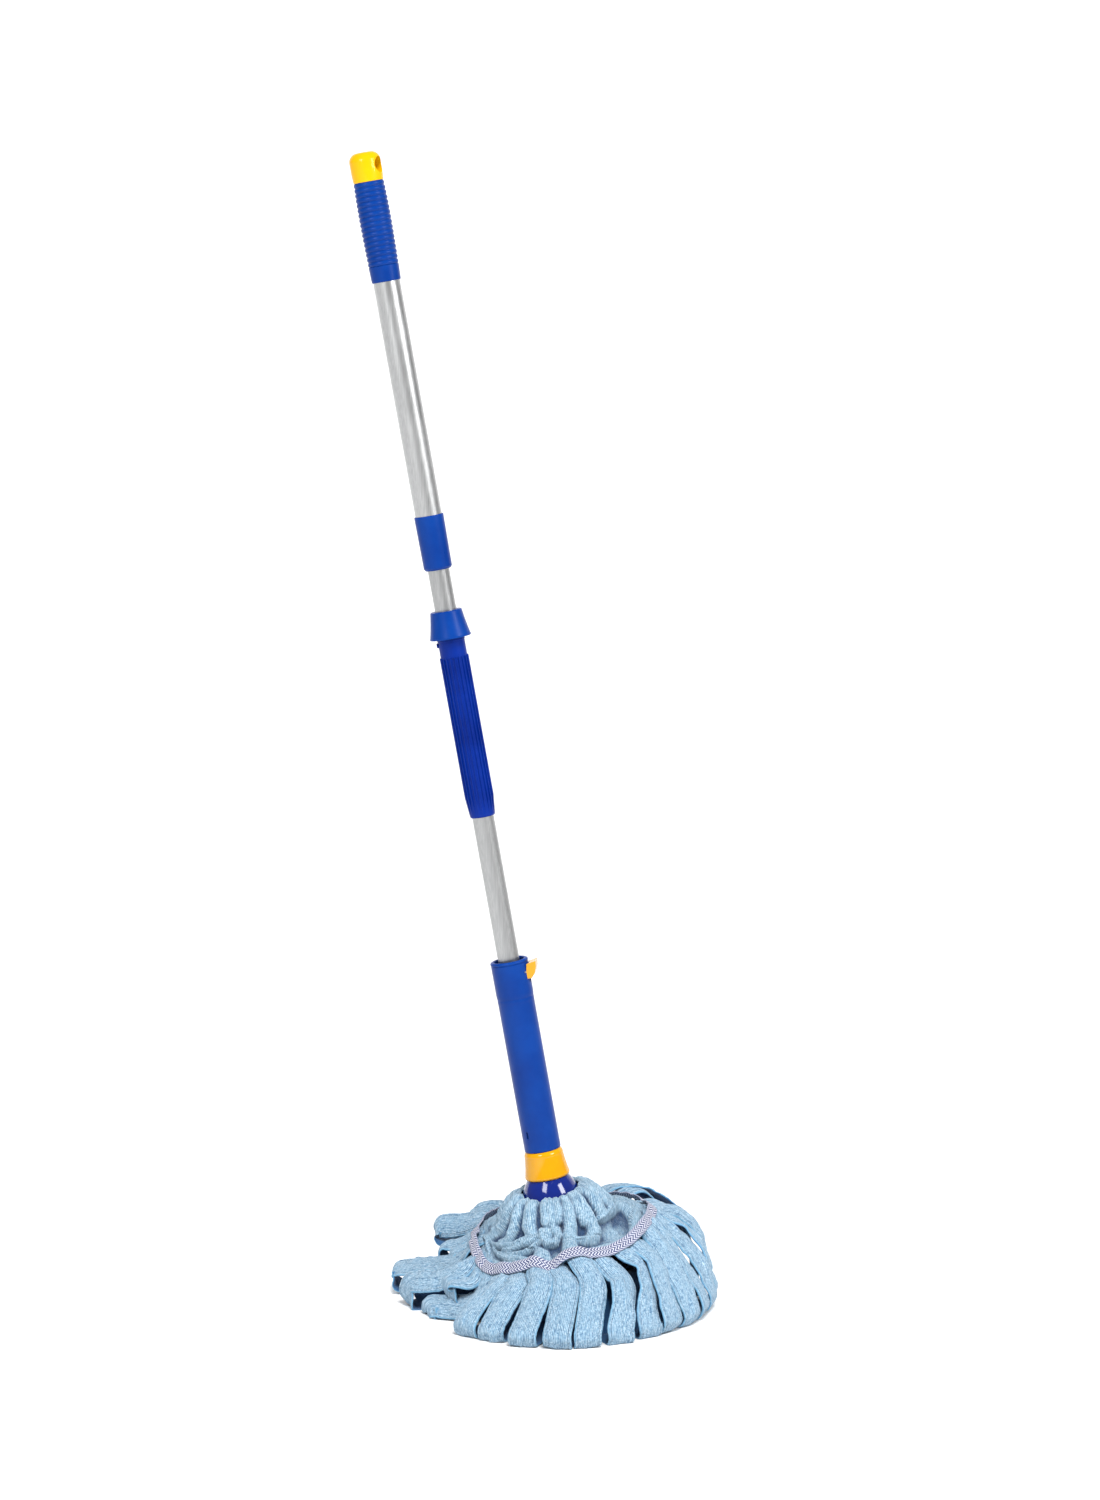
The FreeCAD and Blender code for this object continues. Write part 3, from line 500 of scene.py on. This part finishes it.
def herringbone(name, light, dark, thread):
    """Woven tape: zigzag rows of light and dark threads between two plain borders."""
    n = Nodes(name)
    along, across = n.parts(n.uv("cloth"))
    zigzag = n.maths("PINGPONG", across, 2.9)
    stripe = n.maths("PINGPONG", n.weighted((along, 0.31), (zigzag, 0.36)), 0.5)
    yarn = n.noise(n.cloth((4.2, 1.6)), 1.0, 3.0, 0.7)
    cloud = n.noise(n.cloth((0.09, 0.09)), 1.0, 3.0)
    dark_rows = n.remap(n.weighted((stripe, 2.0), (yarn, 0.5)), 0.72, 1.02)
    border = n.remap(n.maths("ABSOLUTE", across), 4.9, 5.2)
    weave = n.mix(dark_rows, dark, light)
    weave = n.mix(n.maths("MULTIPLY", border, 0.6), weave, thread)
    n.set(Base_Color=n.mix(n.remap(cloud, 0.4, 0.7, 0.0, 0.25), weave, thread),
          Normal=n.bump(n.weighted((stripe, 2.0), (yarn, 1.0)), 0.0005, 0.9))
    n.shader.inputs["Roughness"].default_value = 0.8
    n.shader.inputs["Sheen Weight"].default_value = 0.2
    return n.material


BLUE = plastic("blue_plastic", srgb(3, 55, 134), srgb(1, 45, 120), 0.3, specular=0.15)
DEEP_BLUE = plastic("ratchet_blue", srgb(2, 40, 132), srgb(0, 30, 112), 0.36, specular=0.12)
DOME_BLUE = plastic("dome_blue", srgb(1, 30, 116), srgb(0, 22, 98), 0.1, coat=0.75)
YELLOW = plastic("yellow_plastic", srgb(206, 146, 0), srgb(198, 137, 0), 0.2, specular=0.06,
                 coat=0.6)
CAP_YELLOW = plastic("cap_yellow", srgb(228, 176, 2), srgb(222, 166, 1), 0.28, specular=0.1,
                     coat=0.2)
WHITE = plastic("white_plastic", srgb(196, 196, 193), srgb(182, 182, 180), 0.4)
GREY = plastic("grey_plastic", srgb(96, 100, 106), srgb(78, 82, 88), 0.5)
ALUMINIUM = drawn_metal("aluminium", srgb(206, 207, 207), srgb(182, 183, 184), 0.36)
DULL_ALUMINIUM = drawn_metal("inner_aluminium", srgb(190, 191, 191), srgb(166, 167, 168), 0.4)
STEEL = drawn_metal("steel", srgb(190, 190, 192), srgb(140, 140, 143), 0.3, grain=500.0)
# Each terry: the loop crowns' colour (painted light), the body colour, and the loop valleys' colour
# (painted shade).
TERRY = terry("terry", srgb(183, 204, 219), srgb(126, 159, 183), srgb(44, 84, 122), 0.0012,
              hem=srgb(112, 162, 192))
# The yoke's terry: a slightly lighter copy of the strips' terry, painted light on the gathered
# cloth on top; its last colour is the painted shade in the hollows between its folds.
YOKE_TERRY = terry("yoke_terry", srgb(190, 210, 224), srgb(134, 166, 188), srgb(46, 86, 124),
                   0.0015, fold_shade=srgb(18, 50, 90))
BACKING = knit("terry_back", srgb(58, 102, 144), srgb(28, 64, 108))
HEM = knit("hem", srgb(104, 158, 190), srgb(66, 118, 162))
TAPE = herringbone("woven_tape", srgb(216, 218, 228), srgb(46, 56, 104), srgb(154, 162, 188))

NODE_MATERIALS = (
    (CAP_YELLOW, ("hanging_cap",)),
    (BLUE, ("hand_grip", "lock_collar", "stop_cup", "twist_sleeve")),
    (DEEP_BLUE, ("ratchet_shaft", "shaft_rivet")),
    (DOME_BLUE, ("head_dome",)),
    (YELLOW, ("ratchet_latch", "release_ring")),
    (ALUMINIUM, ("upper_tube",)),
    (DULL_ALUMINIUM, ("main_tube",)),
    (WHITE, ("guide_bush", "bush_retainer", "lock_plug", "lock_expander", "yoke_clamp_ring",
             "tube_end_plug")),
    (GREY, ("base_disc", "base_clamp_ring")),
    (STEEL, ("latch_pin", "latch_spring", "base_screws", "base_pin")),
)
for node_material, node_names in NODE_MATERIALS:
    for node_name in node_names:
        node_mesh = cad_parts[node_name].data
        node_mesh.materials.clear()
        node_mesh.materials.append(node_material)


# ---- leaf spring ----

def make_spring():
    """The leaf spring: a loose copy of its part's mesh, which is hidden."""
    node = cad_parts["latch_spring"]
    mesh = node.data.copy()
    mesh.transform(node.matrix_world)
    spring = bpy.data.objects.new("leaf_spring", mesh)
    bpy.context.scene.collection.objects.link(spring)
    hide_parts("latch_spring")
    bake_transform(spring)


make_spring()


# ---- looped strips ----

def ring_point(azimuth, radius, height):
    return on_handle(polar(np.radians(azimuth), radius, height))


def floor_point(azimuth, radius, height):
    return polar(np.radians(azimuth), radius, height)


def strip_path(root, stations, fold):
    """Points of a strip's middle line, each with its roll: out from under the tape, round its
    fold, back over the floor and up to the clamp at the foot of the handle."""
    radius, height = tape_at(root)
    tip, reach, tall, roll, base, under = (*fold, 0, 0)[:6]
    loop = tall - base
    middle = 0.5 * (root + tip) if abs(root - tip) < 180 else root
    bunch = BUNCHED * ring_point(root, radius, height)[2]
    path = [(*ring_point(root, radius - 8, height - 4.5), 0),
            (*ring_point(root, radius + 5, height - 8.5), 0)]
    path += [(*floor_point(a, r, z), tilt) for a, r, z, tilt in stations]
    path += [(*floor_point(tip, reach - 0.12 * loop, base + 0.95 * loop), roll),
             (*floor_point(tip, reach, base + 0.45 * loop), roll),
             (*floor_point(tip, reach - 0.35 * loop, base + 0.6 * CLOTH),
              0.4 * roll + 0.6 * under),
             (*floor_point(tip, reach - 26, 0.8 * base + 1.6 + 0.2 * under), under),
             (*floor_point(middle, min(110, reach - 36), 0.5 * base + 5), 0.5 * under),
             (*floor_point(middle, min(84, reach - 50), bunch), 0),
             (*floor_point(root, 60, 0.85 * bunch), 0), (*floor_point(root, 44, 8), 0),
             (*ring_point(root, 27, 15.5), 0)]
    return np.array(path)


def make_strip(number, root, stations, fold):
    """One looped strip: a flat ribbon of terry along its path, bowed where it is gathered."""
    rows, columns = STRIP_ROWS, STRIP_COLUMNS
    seed = 100 + number
    controls = strip_path(root, stations, fold)
    line, length = spline(controls[:, :3], rows)
    share = np.linspace(0, 1, rows)
    steps = np.linalg.norm(np.diff(controls[:, :3], axis=0), axis=1)
    at_controls = np.concatenate([[0], np.cumsum(steps)])
    roll = np.radians(np.interp(share, at_controls / at_controls[-1], controls[:, 3]))
    roll = np.convolve(np.pad(roll, 10, "edge"), np.hanning(21) / np.hanning(21).sum(), "valid")
    forward = normalised(np.gradient(line, axis=0))
    side = polar(np.full(rows, math.radians(fold[0]) + math.pi / 2), 1.0, 0.0)
    side = normalised(side - (side * forward).sum(1)[:, None] * forward)
    along_line = share * length
    top = np.clip(1 - (share - 0.42) / 0.1, 0, 1) * np.clip(share / 0.05, 0, 1)
    roll = roll + np.radians(4) * smooth_noise(along_line, seed, 35) * top
    up = np.cross(forward, side)
    side, up = (side * np.cos(roll)[:, None] + up * np.sin(roll)[:, None],
                up * np.cos(roll)[:, None] - side * np.sin(roll)[:, None])
    from_axis = np.linalg.norm(line[:, :2], axis=1)
    width = np.interp(along_line, [0, 14, 46], [GATHERED_WIDTH, GATHERED_WIDTH + 1, STRIP_WIDTH])
    width = width * np.interp(share, [0.4, 0.55], [1.0, UNDER_WIDENING])
    width = np.where(share > 0.5, np.minimum(width, 0.26 * from_axis), width)
    width = width * (1 + 0.035 * smooth_noise(along_line, seed + 40, 24))
    x = np.linspace(-1, 1, columns)
    across = 0.5 * width[:, None] * x[None, :]
    along = np.repeat(along_line[:, None], columns, 1)
    bow = np.interp(along_line, [0, 14, 60, 120], [5.0, 4.5, 2.6, 0.8])
    bow = bow[:, None] * (1 - x ** 2)[None, :]
    ripple = 1.5 * lumps(across, along, seed + 80, 16) + 0.8 * lumps(across, along, seed + 90, 8)
    ripple = ripple * top[:, None]
    nub = 0.34 * lumps(across, along, seed + 120, 2.4)
    nub = nub + 0.15 * lumps(across, along, seed + 130, 1.3)
    from_edge = 0.5 * width[:, None] - np.abs(across)
    seam = -0.3 * np.exp(-((from_edge - HEM_SEAM) / 0.8) ** 2)
    fray = 0.25 * smooth_noise(along + 90 * np.sign(x)[None, :], seed + 60, 1.9)
    fray = fray * (np.abs(x) > 0.99)[None, :]
    sway = 1.6 * smooth_noise(along_line, seed + 20, 38) * top
    middle = (line[:, None] + side[:, None] * (across + fray + sway[:, None])[..., None]
              + up[:, None] * (bow + ripple)[..., None])
    rounding = np.clip(from_edge / 1.6, 0, 1)
    half = 0.5 * CLOTH * (0.42 + 0.58 * np.sqrt(rounding * (2 - rounding)))
    outer = middle + up[:, None] * (half + nub + seam)[..., None]
    inner = middle - up[:, None] * half[..., None]
    outer[..., 2] = np.maximum(outer[..., 2], 0.2)
    inner[..., 2] = np.maximum(inner[..., 2], 0.9)
    cloth = np.stack([across + 61.0 * number, along], -1)
    rim = np.stack([from_edge, along], -1)
    strip = sheet_mesh(f"strip_{number:02d}", outer, inner, {"cloth": cloth, "rim": rim},
                       [TERRY, BACKING, HEM])
    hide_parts("mop_strips")
    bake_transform(strip)


for strip_number, strip_facts in enumerate(STRIPS):
    make_strip(strip_number, *strip_facts)


# ---- gathered yoke ----

def fold_heights(azimuth, share, folds):
    """Height of the rounded folds above the yoke's surface at a grid of places."""
    radius = yoke_at(azimuth, share)[0]
    heights = np.zeros_like(azimuth)
    for fold in folds:
        fold = np.array(fold, float)
        for (a0, t0, w0, h0), (a1, t1, w1, h1) in zip(fold[:-1], fold[1:]):
            du = np.radians((azimuth - a0 + 180) % 360 - 180) * radius
            dv = (share - t0) * YOKE_LENGTH
            eu = np.radians(a1 - a0) * yoke_at(0.5 * (a0 + a1), 0.5 * (t0 + t1))[0]
            ev = (t1 - t0) * YOKE_LENGTH
            k = np.clip((du * eu + dv * ev) / (eu * eu + ev * ev), 0, 1)
            distance = np.hypot(du - k * eu, dv - k * ev) / (w0 + (w1 - w0) * k)
            height = (h0 + (h1 - h0) * k) * np.sqrt(np.clip(1 - distance ** 2, 0, 1))
            heights = np.maximum(heights, height)
    return heights


def plain_folds():
    """Folds and small pleats that fill the rest of the yoke."""
    folds = []
    chosen = np.random.default_rng(11)
    for n in range(PLAIN_FOLDS):
        azimuth = 360 * n / PLAIN_FOLDS - 180
        front = PLAIN_FOLD_FRONT[0] < azimuth < PLAIN_FOLD_FRONT[1]
        bend = chosen.uniform(-7, 7, 4)
        height = chosen.uniform(0.75, 1.1) * (0.3 if front else 1.0)
        folds.append([(azimuth, 0.02, 5.0, 8 * height), (azimuth + bend[0], 0.22, 6.2, 10 * height),
                      (azimuth + bend[1], 0.45, 7.2, 9 * height),
                      (azimuth + bend[2], 0.7, 8.5, 6 * height),
                      (azimuth + bend[3] * 0.5, 1.0, 9.5, 2.5 * height)])
    for n in range(PLEATS):
        azimuth = 360 * (n + chosen.uniform(-0.3, 0.3)) / PLEATS
        folds.append([(azimuth, -0.02, 3.2, chosen.uniform(4, 7)),
                      (azimuth + 2, chosen.uniform(0.08, 0.2), 3.4, 3)])
    return folds


def spread(values, steps):
    """Values on the yoke's grid, averaged with their neighbours at each of the steps."""
    for step in steps:
        values = 0.5 * values + 0.25 * (np.roll(values, step, 1) + np.roll(values, -step, 1))
        padded = np.pad(values, ((step, step), (0, 0)), "edge")
        values = 0.5 * values + 0.25 * (padded[:-2 * step] + padded[2 * step:])
    return values


def make_yoke():
    """The gathered terry between the dome and the tape."""
    azimuth, share = np.meshgrid(np.linspace(-180, 180, YOKE_COLUMNS, endpoint=False),
                                 np.linspace(0, 1, YOKE_ROWS))
    radius, height = yoke_at(azimuth, share)
    lift = np.maximum(fold_heights(azimuth, share, FOLDS),
                      fold_heights(azimuth, share, plain_folds()))
    lift = spread(lift, (1,))
    around = np.radians(azimuth) * radius + CLOTH_OFFSET
    down = share * YOKE_LENGTH
    for seed, rise, scale in ((810, 0.9, 9), (811, 0.5, 4.5), (812, 0.4, 2.3)):
        lift = lift + rise * lumps(around, down, seed, scale)
    lift = lift * np.interp(share, [0, 0.85, 1], [1, 0.9, 0.4])
    lift = lift - np.interp(share, [0, 0.1, 0.8, 1], [3, 5, 4.5, 4])
    slope_r, slope_s = np.gradient(radius, axis=0), np.gradient(height, axis=0)
    size = np.hypot(slope_r, slope_s)
    out_r, out_s = -slope_s / size, slope_r / size
    under = lift - YOKE_THICKNESS
    outer = polar(np.radians(azimuth), radius + out_r * lift, height + out_s * lift)
    inner = polar(np.radians(azimuth), radius + out_r * under, height + out_s * under)
    cloth = np.stack([around, down], -1)
    # The first coordinate, how far the cloth lies below its neighbours, drives the painted shade in
    # the hollows between folds.
    rim = np.stack([lift - spread(lift, (4, 8, 13)), around - CLOTH_OFFSET], -1)
    yoke = sheet_mesh("yoke", on_handle(outer), on_handle(inner), {"cloth": cloth, "rim": rim},
                      [YOKE_TERRY, BACKING, HEM], closed_round=True)
    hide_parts("mop_yoke")
    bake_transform(yoke)


make_yoke()


# ---- sewn tape ----

def make_tape():
    """The woven tape: puffed up and tilted unevenly, and higher over the middle of each strip."""
    rows = TAPE_ROWS
    azimuth = np.linspace(-180, 180, TAPE_COLUMNS, endpoint=False)
    base_r, base_s = tape_at(azimuth)
    around = np.radians(azimuth) * TAPE_LENGTH_R + CLOTH_OFFSET
    across = np.linspace(-0.5, 0.5, rows) * TAPE_WIDTH
    puff = 1.4 * smooth_noise(around, 900, 21) + 0.7 * smooth_noise(around, 902, 8)
    tilt = np.radians(48 + 14 * smooth_noise(around, 901, 34))
    wobble = 1.2 * smooth_noise(around, 903, 27)
    off_strip = np.min([np.abs((azimuth - strip[0] + 180) % 360 - 180) for strip in STRIPS], 0)
    puff = puff + 2.6 * np.cos(np.clip(off_strip / 9, 0, 1) * math.pi / 2)
    offset = across[:, None] + wobble
    r = (base_r + 2.2 + 0.6 * puff)[None, :] + offset * np.cos(tilt)[None, :]
    s = (base_s + 0.5 + 0.9 * puff)[None, :] - offset * np.sin(tilt)[None, :]
    flat = np.radians(np.repeat(azimuth[None, :], rows, 0))
    outer = polar(flat, r, s)
    inner = polar(flat, r - TAPE_THICKNESS * np.sin(tilt), s - TAPE_THICKNESS * np.cos(tilt))
    cloth = np.stack([np.repeat(around[None, :], rows, 0), across[:, None] + 0 * r], -1)
    tape = sheet_mesh("sewn_tape", on_handle(outer), on_handle(inner), {"cloth": cloth}, [TAPE],
                      closed_round=True)
    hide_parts("mop_tape")
    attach(tape, "bush")


make_tape()


# ---- patch under the foot ----

def make_foot_patch():
    """The round piece of terry that covers the foot's disc from below."""
    rings, around, reach = 18, 72, FOOT_PATCH_R
    angle, radius = np.meshgrid(np.linspace(0, 2 * math.pi, around, endpoint=False),
                                np.linspace(0.5, reach, rings))
    x, y = radius * np.cos(angle), radius * np.sin(angle)
    under = polar(angle, radius, 0.4 + 0.15 * lumps(x + 50, y + 50, 950, 3))
    over = polar(angle, radius, 2.6)
    patch = sheet_mesh("foot_patch", over, under, {"cloth": np.stack([x, y], -1)},
                       [BACKING, TERRY, HEM], closed_round=True)
    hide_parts("mop_strips")
    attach(patch, "pole")


make_foot_patch()


# ---- floor, light and camera ----

def make_floor():
    """Seamless paper: flat round the mop, rising in a wide curve far behind it."""
    reach, bend, wide = 6.0, 3.0, 14.0
    turn = np.linspace(0, math.pi / 2, 24)
    y = np.concatenate([[-9.0], reach + bend * np.sin(turn), [reach + bend]])
    z = np.concatenate([[0.0], bend * (1 - np.cos(turn)), [9.0]])
    points = [(x, yy, zz) for yy, zz in zip(y, z) for x in (-wide, wide)]
    faces = [(2 * k, 2 * k + 1, 2 * k + 3, 2 * k + 2) for k in range(len(y) - 1)]
    mesh = bpy.data.meshes.new("floor")
    mesh.from_pydata([tuple(float(c) for c in point) for point in points], [], faces)
    n = Nodes("floor_paint")
    cloud = n.noise(n.coordinates("Object", (1, 1, 1)), 3.0)
    n.set(Base_Color=n.ramp(cloud, (0.0, (0.9, 0.9, 0.9)), (1.0, (0.92, 0.92, 0.92))))
    n.shader.inputs["Roughness"].default_value = 0.9
    n.shader.inputs["Specular IOR Level"].default_value = 0.1
    mesh.materials.append(n.material)
    floor = bpy.data.objects.new("floor", mesh)
    bpy.context.scene.collection.objects.link(floor)


def aimed(name, light, place, target):
    lamp = bpy.data.objects.new(name, light)
    lamp.location = place
    lamp.rotation_euler = (Vector(target) - Vector(place)).to_track_quat("-Z", "Y").to_euler()
    bpy.context.scene.collection.objects.link(lamp)
    return lamp


def add_softbox(name, place, power):
    light = bpy.data.lights.new(name, "AREA")
    light.shape = "RECTANGLE"
    light.size, light.size_y = SOFTBOX_SIZE
    light.energy = power
    aimed(name, light, place, SOFTBOX_TARGET)


def add_ceiling_light(place, strength, softness):
    """Even light over the whole floor, from above and in front."""
    light = bpy.data.lights.new("ceiling", "SUN")
    light.energy = strength
    light.angle = math.radians(softness)
    aimed("ceiling", light, place, (0, 0, 0)).visible_glossy = False


def make_world():
    world = bpy.data.worlds.new("studio")
    world.use_nodes = True
    background = world.node_tree.nodes["Background"]
    background.inputs["Color"].default_value = (1, 1, 1, 1)
    background.inputs["Strength"].default_value = WORLD_LIGHT
    bpy.context.scene.world = world


def make_camera():
    data = bpy.data.cameras.new("camera")
    data.lens = CAMERA_LENS
    data.sensor_width = CAMERA_SENSOR
    camera = bpy.data.objects.new("camera", data)
    camera.location = CAMERA_PLACE
    camera.rotation_euler = (math.radians(90 - CAMERA_DOWN), 0, 0)
    bpy.context.scene.collection.objects.link(camera)
    bpy.context.scene.camera = camera


make_floor()
make_world()
add_ceiling_light(**CEILING_LIGHT)
for softbox in SOFTBOXES:
    add_softbox(*softbox)
make_camera()
bpy.context.scene.view_settings.view_transform = "Standard"
